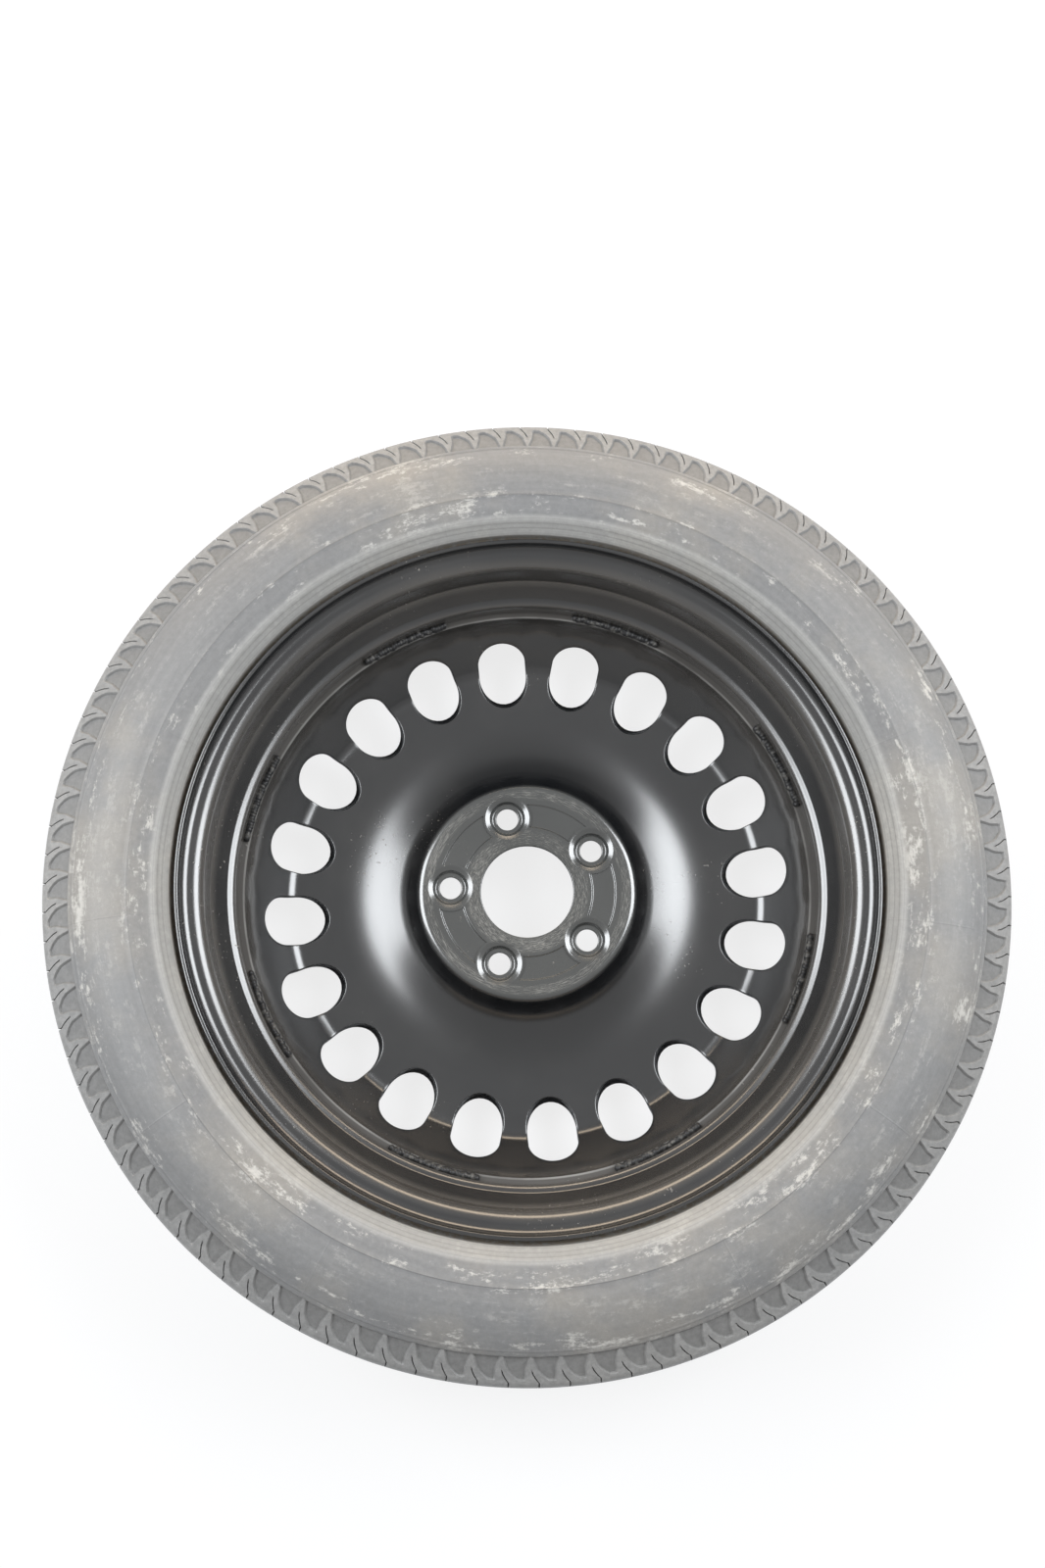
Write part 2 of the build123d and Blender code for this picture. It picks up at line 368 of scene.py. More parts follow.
def on_wheel(radius, angle, height):
    """Points from radius, angle and height about the axle."""
    radius, angle, height = np.broadcast_arrays(radius, angle, height)
    return np.stack([radius * np.cos(angle), radius * np.sin(angle), height], axis=-1).reshape(-1, 3)


def turned(name, section, count, sharp=steel_edge):
    """A closed section of radius and height turned about the axle."""
    section = np.asarray(section)
    angles = np.arange(count) * 2 * pi / count
    points = on_wheel(section[:, 0][:, None], angles[None, :], section[:, 1][:, None])
    return smooth_mesh(name, points, grid_faces(len(section), count, True, True), sharp)


def cut(mesh_object, tools):
    """Take the tools' volume out of a piece and leave a plain mesh."""
    for tool in tools:
        modifier = mesh_object.modifiers.new("cut", "BOOLEAN")
        modifier.operation = "DIFFERENCE"
        modifier.solver = "EXACT"
        modifier.object = tool
    evaluated = mesh_object.evaluated_get(bpy.context.evaluated_depsgraph_get())
    result = bpy.data.meshes.new_from_object(evaluated)
    mesh_object.modifiers.clear()
    mesh_object.data = result
    for tool in tools:
        bpy.data.objects.remove(tool)


def join(name, meshes, material):
    """One piece from several meshes."""
    shell = bmesh.new()
    for mesh in meshes:
        shell.from_mesh(mesh)
    whole = bpy.data.meshes.new(name)
    shell.to_mesh(whole)
    shell.free()
    whole.set_sharp_from_angle(angle=steel_edge)
    return piece(name, whole, material)


# Geometry Nodes


def node_tree(name, inputs):
    """An empty Geometry Nodes tree with its named inputs: (name, socket type, value)."""
    tree = bpy.data.node_groups.new(name, "GeometryNodeTree")
    tree.interface.new_socket("Geometry", in_out="INPUT", socket_type="NodeSocketGeometry")
    for label, kind, value in inputs:
        socket = tree.interface.new_socket(label, in_out="INPUT", socket_type=kind)
        if value is not None:
            socket.default_value = value
    tree.interface.new_socket("Geometry", in_out="OUTPUT", socket_type="NodeSocketGeometry")
    graph = Graph(tree)
    entry = graph.node("NodeGroupInput").socket.node
    return graph, {socket.name: Value(graph, socket) for socket in entry.outputs if socket.name}


def end_tree(graph, geometry, material):
    """Realize what the tree makes, give it its material and put it out."""
    real = graph.node("GeometryNodeRealizeInstances", inputs={0: geometry})
    welded = graph.node("GeometryNodeMergeByDistance", inputs={0: real, "Distance": 1e-6})
    painted = graph.node("GeometryNodeSetMaterial", inputs={0: welded, "Material": material})
    graph.node("NodeGroupOutput", inputs={0: painted})


def grown(name, mesh, graph, sizes):
    """The plain mesh that a tree makes from a mesh, with the tree's inputs set."""
    source = bpy.data.objects.new(name, mesh)
    bpy.context.scene.collection.objects.link(source)
    modifier = source.modifiers.new(name, "NODES")
    modifier.node_group = graph.tree
    for item in graph.tree.interface.items_tree:
        if item.in_out == "INPUT" and item.name in sizes:
            modifier[item.identifier] = sizes[item.name]
    evaluated = source.evaluated_get(bpy.context.evaluated_depsgraph_get())
    result = bpy.data.meshes.new_from_object(evaluated)
    bpy.data.objects.remove(source)
    return result


def ring_tree():
    """Repeats a sector round the axle and welds the copies together."""
    graph, given = node_tree(
        "ring_of_sectors",
        [
            ("Count", "NodeSocketInt", 1),
            ("Turn", "NodeSocketFloat", 0.0),
            ("Material", "NodeSocketMaterial", None),
        ],
    )
    centres = graph.node("GeometryNodePoints", inputs={"Count": given["Count"]})
    number = graph.node("GeometryNodeInputIndex")
    angle = given["Turn"] + number * (2 * pi) / given["Count"]
    copies = graph.node(
        "GeometryNodeInstanceOnPoints",
        inputs={
            "Points": centres,
            "Instance": given["Geometry"],
            "Rotation": graph.vector(0.0, 0.0, angle),
        },
    )
    end_tree(graph, copies, given["Material"])
    return graph


def weld_tree():
    """Short runs of overlapping weld beads round the axle, each bead a little different."""
    graph, given = node_tree(
        "weld_runs",
        [
            ("Runs", "NodeSocketInt", 1),
            ("Beads", "NodeSocketInt", 8),
            ("Turn", "NodeSocketFloat", 0.0),
            ("Arc", "NodeSocketFloat", 0.3),
            ("Radius", "NodeSocketFloat", 0.2),
            ("Height", "NodeSocketFloat", 0.0),
            ("Size", "NodeSocketFloat", 0.002),
            ("Seed", "NodeSocketInt", 1),
            ("Material", "NodeSocketMaterial", None),
        ],
    )
    total = given["Runs"] * given["Beads"]
    number = graph.node("GeometryNodeInputIndex")
    run = graph.maths("FLOOR", number / given["Beads"])
    along = (number - run * given["Beads"]) / (given["Beads"] - 1) - 0.5
    angle = given["Turn"] + run * (2 * pi) / given["Runs"] + along * given["Arc"]
    waver = graph.node(
        "FunctionNodeRandomValue",
        {"data_type": "FLOAT"},
        {2: -0.00035, 3: 0.00035, "Seed": given["Seed"]},
        output=1,
    )
    reach = given["Radius"] + waver
    spots = graph.node(
        "GeometryNodePoints",
        inputs={
            "Count": total,
            "Position": graph.vector(
                reach * graph.maths("COSINE", angle),
                reach * graph.maths("SINE", angle),
                given["Height"] + waver,
            ),
        },
    )
    blob = graph.node(
        "GeometryNodeMeshUVSphere", inputs={"Segments": 10, "Rings": 7, "Radius": given["Size"]}
    )
    soft = graph.node("GeometryNodeSetShadeSmooth", inputs={0: blob})
    plump = graph.node(
        "FunctionNodeRandomValue",
        {"data_type": "FLOAT_VECTOR"},
        {0: (0.85, 0.8, 0.8), 1: (1.15, 1.1, 1.2), "Seed": given["Seed"] + 1},
    )
    beads = graph.node(
        "GeometryNodeInstanceOnPoints",
        inputs={
            "Points": spots,
            "Instance": soft,
            "Rotation": graph.vector(0.5, 0.0, angle),
            "Scale": plump,
        },
    )
    end_tree(graph, beads, given["Material"])
    return graph


# Finishes


def tyre_rubber():
    """Grey weathered rubber: gritty, with brown dust stains, pale scuffs and mould lines; painted shade
    in the tread's pockets and painted light over the bead zone.
    """
    scuff_zones = ((0.247, 0.263), (0.288, 0.3))
    mould_edges = ((0.2598, 0.2604, 0.0004), (0.2976, 0.2984, 0.0005))
    bead_zone, bead_rings, bead_foot = (0.2325, 0.2465), (0.2355, 0.2445), (0.2328, 0.2354)
    ring_pitch = 0.0013
    mould_turn, mould_start = radians(13.85), 0.13
    material, graph, shader = finish("tyre_rubber")
    here, radius, angle, height = graph.place()
    cloud = graph.noise(here, 9.0, 6.0, 0.62)
    grit = graph.noise(here, 260.0, 6.0, 0.75)
    grain = graph.noise(here, 900.0, 2.0)
    swept = graph.noise(graph.vector(radius * 260, angle * 5, height * 60), 1.0, 6.0, 0.7)
    scuff = graph.noise(graph.vector(radius * 130, angle * 10, height * 50), 1.0, 8.0, 0.78)
    base = graph.mixed(swept, (0.165, 0.166, 0.168), (0.262, 0.261, 0.259))
    stained = graph.mixed(graph.step(cloud, 0.44, 0.66) * 0.6, base, (0.31, 0.288, 0.255))
    rubbed = graph.band(radius, *scuff_zones[0], 0.004) + graph.band(radius, *scuff_zones[1], 0.004)
    pale = graph.step(scuff + 0.3 * grit + 0.25 * cloud, 0.81, 0.92) * (0.25 + 0.75 * rubbed)
    scuffed = graph.mixed(pale * 0.7, stained, (0.6, 0.582, 0.545))
    shoulder = graph.step(radius, 0.2992, 0.3025)
    earth = graph.mixed(grit, (0.175, 0.174, 0.172), (0.35, 0.345, 0.336))
    tread = graph.mixed(shoulder * 0.8, scuffed, earth)
    # Painted shade: the tread's pockets and sipes are darkened by how deep they are.
    hollow = graph.node("ShaderNodeAttribute", {"attribute_name": "hollow"}, output="Fac")
    marked = graph.mixed(hollow * 0.4, tread, (0.1, 0.099, 0.097))
    rings = graph.maths("PINGPONG", radius, ring_pitch) / ring_pitch
    ringed = graph.band(radius, *bead_rings, 0.0008) * (1 - graph.step(rings, 0.1, 0.4))
    edges = graph.band(radius, *mould_edges[0]) + graph.band(radius, *mould_edges[1])
    lined = graph.mixed((ringed * 0.5 + edges * 0.4).clamped(), marked, (0.07, 0.07, 0.07))
    # Painted light: a paler band over the bead zone stands in for fill light from below.
    bead_fill_light = graph.mixed(graph.band(radius, *bead_zone, 0.0015) * 0.36, lined, (0.55, 0.54, 0.51))
    bead_line = graph.band(radius, *bead_foot, 0.0007)
    bead = graph.mixed(bead_line * graph.step(grit, 0.35, 0.55) * 0.8, bead_fill_light, (0.2, 0.155, 0.108))
    speckled = graph.mixed(graph.step(grit, 0.3, 0.72), (0.92, 0.92, 0.92), (1.07, 1.07, 1.07))
    coloured = graph.node(
        "ShaderNodeMix",
        {"data_type": "RGBA", "blend_type": "MULTIPLY"},
        {0: 1.0, 6: bead, 7: speckled},
        output=2,
    )
    lines = graph.maths("PINGPONG", angle + mould_start, mould_turn)
    mould_line = 1 - graph.step(lines * radius, 0.0002, 0.0007)
    relief = grain * 0.15 + grit * 0.8 + mould_line * (1 - shoulder) * 0.5
    bump = graph.node("ShaderNodeBump", inputs={"Strength": 0.25, "Distance": 0.0008, "Height": relief})
    feed(graph, shader, Base_Color=coloured, Roughness=0.36 + 0.22 * grit + 0.2 * pale, Normal=bump)
    return material


def black_paint():
    """Glossy black dip paint, scuffed where the pad meets the hub, with chips and road dust, a lighter
    brown band over the barrel and a painted highlight along the disc's top edge.
    """
    bore_ring, pad_ring = (0.0335, 0.043), (0.0665, 0.0725)
    barrel_zone, well_zone = (0.192, 0.219), (0.2015, 0.212)
    edge_line_radius, edge_line_height = (0.1951, 0.1966), (-0.0004, 0.0016)
    material, graph, shader = finish("black_paint", IOR=2.25)
    here, radius, angle, height = graph.place()
    cloud = graph.noise(here, 11.0, 5.0)
    peel = graph.noise(here, 500.0, 2.0)
    streak = graph.noise(graph.vector(radius * 2200, angle * 8, 0.0), 1.0, 4.0, 0.7)
    scratch = graph.noise(graph.vector(radius * 2500, angle * 9, height * 300), 1.0, 2.0, 0.5)
    speck = graph.noise(here, 420.0, 2.0, 0.4)
    on_pad = graph.step(height, -0.0162, -0.0146)
    rings = graph.band(radius, *bore_ring, 0.002) + graph.band(radius, *pad_ring, 0.0012)
    marked = (rings * on_pad * graph.step(streak + 0.35 * cloud, 0.62, 0.86)).clamped()
    chips = graph.step(speck, 0.7, 0.74) * graph.step(cloud, 0.52, 0.66)
    dust = graph.step(cloud, 0.4, 0.75)
    paint = graph.mixed(dust * 0.5, (0.006, 0.0065, 0.0075), (0.03, 0.028, 0.026))
    # A lighter, brown band over the barrel, from the disc's edge to the bead seat, patchy with the cloud
    # and spared across the well's upper edge.
    barrel = graph.band(radius, *barrel_zone, 0.004) * (1 - graph.band(radius, *well_zone, 0.002))
    barrel_browned = graph.mixed(barrel * (0.4 + 0.6 * cloud), paint, (0.1, 0.092, 0.083))
    hub_film = (1 - graph.step(radius, 0.074, 0.0775)) * (0.5 + 0.5 * cloud)
    rubbed = graph.mixed(hub_film, barrel_browned, (0.07, 0.072, 0.069))
    scuffed = graph.mixed(marked * 0.6, rubbed, (0.3, 0.285, 0.25))
    # Painted highlight: a pale line along the disc's top cut edge, broken by noise where it stands for
    # bare, chipped edge.
    edge = graph.band(radius, *edge_line_radius, 0.0004) * graph.band(height, *edge_line_height, 0.0004)
    edge_highlight_and_wear = graph.mixed(edge * graph.step(cloud, 0.3, 0.62) * 0.7, scuffed, (0.36, 0.352, 0.335))
    chipped = graph.mixed(chips * 0.6, edge_highlight_and_wear, (0.3, 0.27, 0.22))
    satin = graph.step(radius, 0.078, 0.088)
    rough = 0.14 + 0.06 * satin + 0.05 * cloud + 0.05 * scratch + 0.25 * marked + 0.3 * chips
    relief = peel * 0.04 + scratch * 0.04 + streak * rings * on_pad * 0.3 - chips * 0.5
    bump = graph.node("ShaderNodeBump", inputs={"Strength": 0.15, "Distance": 0.0004, "Height": relief})
    feed(graph, shader, Base_Color=chipped, Roughness=rough.clamped(), Normal=bump)
    return material


def welded_steel():
    """Weld metal under the same paint, rougher and patchy."""
    material, graph, shader = finish("welded_steel")
    patch = graph.noise(graph.here(), 260.0, 4.0)
    tone = graph.mixed(graph.step(patch, 0.48, 0.7), (0.02, 0.02, 0.021), (0.13, 0.125, 0.115))
    feed(graph, shader, Base_Color=tone, Roughness=0.3 + 0.3 * patch)
    return material


def plain(name, colour, roughness, metallic=0.0):
    """A finish of one tone with a slightly uneven gloss."""
    material, graph, shader = finish(name, Metallic=metallic)
    grain = graph.noise(graph.here(), 300.0, 3.0)
    tone = graph.mixed(grain, tuple(0.85 * c for c in colour), tuple(min(1.0, 1.1 * c) for c in colour))
    feed(graph, shader, Base_Color=tone, Roughness=roughness - 0.08 + 0.16 * grain)
    return material


# Wheel pieces


def make_rim(paint):
    """The rolled hoop, from the upper lip round the tyre's face to the lower lip."""
    seat_end_plane = hump_plane + 4
    seat_end = bead_seat_radius - seat_taper * (rim_half_width - seat_end_plane)
    upper = [
        (flange_radius, lip_plane),
        (flange_radius, rim_half_width, 9.5),
        (bead_seat_radius, rim_half_width, 6.0),
        (seat_end, seat_end_plane, 6.0),
        (hump_radius, hump_plane, 4.5),
    ]
    lower = [(corner[0], -corner[1], *corner[2:]) for corner in upper[::-1]]
    ledge = [(well_radius + 3.8, well_edge + 0.6, 6.0), (well_radius, well_edge - 0.9, 1.5)]
    face = [*upper, *ledge, (well_radius, -well_edge, 9.0), *lower]
    section = rounded(sheet_section(face, rim_sheet, rim_edge), closed=True)
    return piece("rim_hoop", turned("rim_hoop", section, 400), paint)


disc_face = [
    (centre_bore_radius, pad_plane),
    (pad_radius, pad_plane, 6.0),
    wall_corner,
    dish_corner,
    (crease_radius, crease_plane, 12.0),
    (disc_flange, crease_plane + disc_flange - crease_radius, 16.0),
    (disc_flange, disc_edge),
]
join_radius = 136.0
join_plane = np.interp(join_radius, (dish_corner[0], crease_radius), (dish_corner[1], crease_plane))


def seat_section():
    """The sheet drawn down round a bolt hole, about the hole's own axis."""
    face = [
        (bolt_hole_radius, -seat_drop),
        (10.6, -seat_drop, 1.2),
        (12.3, -1.6, 1.2),
        (15.6, 0.0, 2.4),
        (seat_radius, 0.0),
    ]
    other = moved(face, disc_sheet)
    cone = 2.4
    under = [(other[0][0] + cone * tan(radians(30)), other[0][1]), (other[0][0], other[0][1] + cone)]
    return rounded(
        [(*face[0], 0.7), *face[1:-1], face[-1], other[-1], *other[-2:0:-1], *under], closed=True
    )


def make_pad(paint):
    """The middle of the disc: the pad with its shallow band, its wall and the start of the floor."""
    face = [*disc_face[:4], (join_radius, join_plane)]
    under = moved(face, disc_sheet)
    band = [
        (band_inner, pad_plane, 0.8),
        (band_inner + 1.0, pad_plane - band_depth, 0.8),
        (band_outer - 1.0, pad_plane - band_depth, 0.8),
        (band_outer, pad_plane, 0.8),
    ]
    corners = [(*face[0], 0.6), *band, *face[1:], *under[:0:-1], (*under[0], 0.6)]
    section = rounded(corners, closed=True, step=radians(5))
    pad = piece("pad", turned("pad", section, 400), paint)
    reach = 20
    drill = [(0.01, -reach), (0.01, reach), (seat_radius, reach), (seat_radius, -reach)]
    holes = []
    seats = []
    for index in range(bolt_count):
        angle = wheel_turn + index * 2 * pi / bolt_count
        centre = Matrix.Translation(
            Vector((bolt_circle_radius * cos(angle), bolt_circle_radius * sin(angle), pad_plane)) * MM
        )
        seat = turned("seat", seat_section(), 96)
        seat.transform(centre)
        seats.append(seat)
        hole = turned("hole", drill, 96)
        hole.transform(centre)
        holes.append(piece("hole", hole, paint))
    cut(pad, holes)
    pad.data.set_sharp_from_angle(angle=steel_edge)
    meshes = [pad.data, *seats]
    bpy.data.objects.remove(pad)
    return meshes


class Sheet:
    """One face of the disc outside the pad, reached by an angle and a share of its length."""

    def __init__(self, corners):
        self.points = rounded(corners, step=radians(3))
        lengths = np.hypot(*np.diff(self.points, axis=0).T)
        self.reach = np.concatenate([[0.0], np.cumsum(lengths)])
        self.length = self.reach[-1]
        tangent = np.gradient(self.points, self.reach, axis=0)
        self.normal = np.stack([-tangent[:, 1], tangent[:, 0]], axis=1)
        self.normal /= np.hypot(*self.normal.T)[:, None]

    def at(self, share, lift=0.0):
        """Radius and height at a share of the length, lifted off the face."""
        reach = np.asarray(share) * self.length
        radius, height = (np.interp(reach, self.reach, self.points[:, k]) for k in (0, 1))
        out, up = (np.interp(reach, self.reach, self.normal[:, k]) for k in (0, 1))
        return radius + lift * out, height + lift * up

    def punched(self, x, y):
        """Where the window's outline, drawn square to its punch, meets this face: angle and share."""
        low, high = np.full_like(x, -20.0), np.full_like(x, 20.0)
        for _ in range(40):
            way = (low + high) / 2
            out = window_middle[0] + x * cos(window_lean) - way * sin(window_lean)
            height = window_middle[1] + x * sin(window_lean) + way * cos(window_lean)
            radius = np.hypot(out, y)
            above = height > np.interp(radius, self.points[:, 0], self.points[:, 1])
            high = np.where(above, way, high)
            low = np.where(above, low, way)
        return np.arctan2(y, out), np.interp(radius, self.points[:, 0], self.reach) / self.length


def window_outline(directions):
    """The slot's outline in its own plane, one point in each direction from its middle."""
    half = window_width / 2
    straight = (window_length - window_width) / 2
    c, s = np.cos(directions), np.sin(directions)
    side = half / np.maximum(np.abs(s), 1e-9)
    ends = straight * np.abs(c) + np.sqrt(half**2 - (straight * s) ** 2)
    reach = np.where(side * np.abs(c) <= straight, side, ends)
    return reach * c, reach * s


def window_sector():
    """One window and the sheet round it, as far as the lines midway to its neighbours."""
    corners = [(join_radius, join_plane), *disc_face[4:]]
    faces = [Sheet(corners), Sheet(moved(corners, disc_sheet))]
    half = pi / window_count
    end_steps, side_steps = 10, 36
    across = np.linspace(-half, half, end_steps + 1)
    bend_share = 0.43
    spread = np.linspace(-1, 1, side_steps + 1)
    along = np.where(
        spread < 0,
        bend_share * (1 - np.abs(spread) ** 1.5),
        bend_share + (1 - bend_share) * np.abs(spread) ** 1.25,
    )
    edge_angle = np.concatenate(
        [across[:-1], np.full(side_steps, half), across[:0:-1], np.full(side_steps, -half)]
    )
    edge_share = np.concatenate([np.zeros(end_steps), along[:-1], np.ones(end_steps), along[:0:-1]])
    middle = faces[0].punched(np.zeros(1), np.zeros(1))[1][0]
    directions = np.arctan2(
        edge_angle * window_middle[0], (edge_share - middle) * faces[0].length
    )
    outline = window_outline(directions)
    ease = 0.9
    turns = np.radians([0, 22.5, 45, 67.5, 90])
    steps = [0.1, 0.24, 0.42, 0.62, 0.82, 1.0]
    points = []
    for lift_sign, face in zip((-1, 1), faces):
        slot_angle, slot_share = face.punched(*outline)
        width = np.hypot(
            (edge_angle - slot_angle) * window_middle[0], (edge_share - slot_share) * face.length
        )
        loops = [(ease * (1 - cos(t)) / width, ease * (1 - sin(t))) for t in turns]
        start = loops[-1][0]
        loops += [(start + (1 - start) * step, 0.0) for step in steps]
        if lift_sign < 0:
            loops = loops[::-1]
        for share, drop in loops:
            angle = slot_angle + (edge_angle - slot_angle) * share
            radius, height = face.at(slot_share + (edge_share - slot_share) * share, lift_sign * drop)
            points.append(on_wheel(radius, angle, height))
    count = len(edge_angle)
    rows = len(points)
    quads = grid_faces(rows, count, False, True)
    last = (rows - 1) * count
    for start in (0, end_steps + side_steps):
        quads += [(k, last + k, last + k + 1, k + 1) for k in range(start, start + end_steps)]
    return np.concatenate(points), quads


def make_disc(paint, ring):
    """The pressed disc: the pad, and a ring of window sectors round it."""
    points, quads = window_sector()
    sector = bare_mesh("window_sector", points, quads)
    windows = grown(
        "windows", sector, ring, {"Count": window_count, "Turn": window_turn, "Material": paint}
    )
    face_outwards(windows)
    return join("disc", [*make_pad(paint), windows], paint)


def make_welds(steel):
    """The runs that join the disc's edge to the rim's well."""
    sizes = {
        "Runs": weld_count,
        "Beads": 30,
        "Turn": weld_turn,
        "Arc": weld_arc,
        "Radius": (well_inside - 1.7) * MM,
        "Height": (disc_edge + 1.5) * MM,
        "Size": 2.5 * MM,
        "Seed": 7,
        "Material": steel,
    }
    mesh = grown("welds", bpy.data.meshes.new("weld_start"), weld_tree(), sizes)
    return piece("weld_runs", mesh, steel)


# Tyre


def tread_height(plane):
    """Radius of the tread's surface at a height across it."""
    arc = (tread_edge**2 + tread_drop**2) / (2 * tread_drop)
    return tyre_radius - arc + np.sqrt(arc**2 - np.asarray(plane) ** 2)


def bow_height(radius):
    """Height of the bowed sidewall at a radius."""
    return tyre_half_width - sidewall_bow + sqrt(sidewall_bow**2 - (radius - sidewall_radius) ** 2)


shoulder_corner = (tyre_radius - 4.6, tread_edge + 5.5, 5.0)
shoulder_foot = (ridge_radius + 1.0, bow_height(ridge_radius) - 1.4)
tread_seam = [(tyre_radius - 7, 0.0), (tyre_radius - 8, 44.0), (306.0, 50.0), (ridge_radius + 1.5, 56.0)]


class TreadRow:
    """A line across a pitch of the tread: its place, the pocket's half width and depth, the sipe."""

    def __init__(self, radius, height, normal, pocket=pocket_tip_width, depth=0.0, sipe=0.0, shear=0.0):
        self.radius = radius
        self.height = height
        self.normal = normal
        self.pocket = pocket
        self.depth = depth
        self.sipe = sipe
        self.shear = shear


def tread_rows():
    """The rows of half a tread, from the crown to the foot of the shoulder."""
    half_groove = groove_width / 2
    foot = half_groove - groove_depth * tan(radians(15))
    rows = []
    rib_edge = groove_plane - half_groove
    for plane in (0.0, 6.5, rib_edge):
        sipe = crown_sipe_depth if plane < rib_edge else 0.0
        rows.append(TreadRow(float(tread_height(plane)), plane, (1, 0), sipe=sipe))
    for plane in (groove_plane - foot, groove_plane + foot):
        rows.append(TreadRow(tyre_radius - groove_depth, plane, (1, 0)))
    block_edge = groove_plane + half_groove
    for plane in (block_edge, block_edge + 1.5, 33.0, 41.0, tread_edge):
        lean = 4.5 * (plane / tread_edge) ** 2
        sipe = sipe_depth if plane > block_edge else 0.0
        rows.append(TreadRow(float(tread_height(plane)), plane, (1, 0), sipe=sipe, shear=lean))
    tread_end = (tyre_radius - tread_drop, tread_edge)
    bend = rounded([tread_end, shoulder_corner, shoulder_foot], step=radians(18))
    for radius, plane in bend[1:-1]:
        rows.append(TreadRow(radius, plane, (0.75, 0.66), sipe=sipe_depth, shear=sipe_lean))
    top, bottom = np.array(bend[-2]), np.array(shoulder_foot)
    wall = bottom - top
    length = np.hypot(*wall)
    normal = (-wall[1] / length, wall[0] / length)
    normal = normal if normal[1] > 0 else (-normal[0], -normal[1])
    tip = 1.6
    for reach in (0.8, tip, tip + 0.9, tip + 2.2, 6.0, 9.0, 12.0, 15.0, length - 1.2, length - 0.1):
        down = max(reach - tip, 0.0)
        radius, plane = top + wall * (reach / length)
        pocket = max(pocket_tip_width, pocket_half_width * (down / (length - tip)) ** 0.45)
        depth = pocket_depth * min(1.0, down / 0.9)
        fade = max(0.0, 1 - reach / 9.5)
        sipe = sipe_depth * min(1.0, 2 * fade)
        rows.append(TreadRow(radius, plane, normal, pocket, depth, sipe, sipe_lean * fade**1.5))
    return rows


def tread_pitch():
    """One pitch of the tread band: its points, its quads and how hollow each point is."""
    pitch = 2 * pi / pitch_count
    upper = tread_rows()
    lower = [
        TreadRow(r.radius, -r.height, (r.normal[0], -r.normal[1]), r.pocket, r.depth, r.sipe, -r.shear)
        for r in upper[1:]
    ]
    points = []
    hollows = []
    for row in lower[::-1] + upper:
        half = pitch * row.radius / 2
        across = [0.0, 0.5, half - row.pocket - 0.8, half - row.pocket + 0.5, half - row.pocket / 2, half]
        drop = [row.sipe, 0.0, 0.0, row.depth, row.depth, row.depth]
        across += [2 * half - place for place in across[-2::-1]]
        drop += drop[-2::-1]
        across, drop = np.array(across) + row.shear, np.array(drop)
        hollows.append(np.minimum(drop / pocket_depth, 1.0))
        points.append(
            on_wheel(
                row.radius - drop * row.normal[0], across / row.radius, row.height - drop * row.normal[1]
            )
        )
    under = tread_seam[::-1]
    under += [(radius, -plane) for radius, plane in under[-2::-1]]
    columns = len(points[0])
    straight = np.linspace(0, pitch, columns)
    for radius, plane in under:
        points.append(on_wheel(radius, straight, plane))
        hollows.append(np.zeros(columns))
    quads = grid_faces(len(points), columns, True, False)
    return np.concatenate(points), quads, np.concatenate(hollows)


def make_tread(rubber, ring):
    """The tread band: one pitch repeated all the way round."""
    points, quads, hollows = tread_pitch()
    sector = bare_mesh("tread_pitch", points, quads)
    sector.attributes.new("hollow", "FLOAT", "POINT").data.foreach_set("value", hollows)
    band = grown("tread", sector, ring, {"Count": pitch_count, "Turn": 0.0, "Material": rubber})
    face_outwards(band)
    band.set_sharp_from_angle(angle=rubber_edge)
    return piece("tread_band", band, rubber)


def casing_section():
    """Half the casing's section: under the tread, over the sidewall, round the bead and back inside."""
    ridge = bow_height(ridge_radius)
    outer = [
        *tread_seam,
        shoulder_foot,
        (ridge_radius + 0.4, ridge - 0.2),
        (ridge_radius - 0.5, ridge + 0.5),
        (ridge_radius - 2.2, bow_height(ridge_radius - 2.2) + 0.5),
        (ridge_radius - 3.4, bow_height(ridge_radius - 3.4) - 0.1),
    ]
    line_radius = 260.0
    line_top = bow_height(line_radius) + 0.3
    rib = bow_height(rib_radius)
    above_line = [296.0, 292.0, 287.0, 281.0, 275.0, 269.0, 264.0, line_radius + 0.9]
    below_line = [line_radius - 0.9, 256.0, 251.5, 247.0, 244.4]
    outer += [(radius, bow_height(radius)) for radius in above_line]
    outer += [(line_radius + 0.3, line_top), (line_radius - 0.3, line_top)]
    outer += [(radius, bow_height(radius)) for radius in below_line]
    outer += [(rib_radius + 0.5, rib + 0.1), (rib_radius - 0.3, rib - 0.5)]
    flank_top = np.array([rib_radius - 0.8, rib - 1.2])
    flank_end = np.array([flange_radius + 3.1, lip_plane - 0.8])
    flank = flank_end - flank_top
    for ring in (0.24, 0.5, 0.76):
        for shift, lift in ((-0.08, 0.0), (-0.03, 0.45), (0.03, 0.45), (0.08, 0.0)):
            outer.append(tuple(flank_top + flank * (ring + shift) + np.array([0.6, 0.6]) * lift))
    bead = rounded(
        [
            outer[-1],
            (*flank_end, 2.0),
            (flange_radius + 2.0, rim_half_width, 8.5),
            (bead_seat_radius, rim_half_width, 6.4),
            (bead_seat_radius - seat_taper * bead_width, rim_half_width - bead_width, 2.0),
            (bead_seat_radius + 3.2, 33.5, 3.0),
            (bead_seat_radius + 15.2, 37.5, 14.0),
            (246.5, 65.3, 16.0),
            (256.0, 67.4),
            (266.0, 68.5),
            (279.0, 66.6),
            (292.0, 60.7),
            (309.0, 49.4, 14.0),
            (tyre_radius - 12, 0.0),
        ],
        step=radians(20),
    )
    return outer + [tuple(point) for point in bead[1:]]


def make_casing(rubber):
    """The casing: both sidewalls, the beads and the lining, turned as one piece."""
    half = casing_section()
    section = half + [(radius, -plane) for radius, plane in half[-2:0:-1]]
    return piece("casing", turned("casing", section, 416, sharp=rubber_edge), rubber)


# Valve

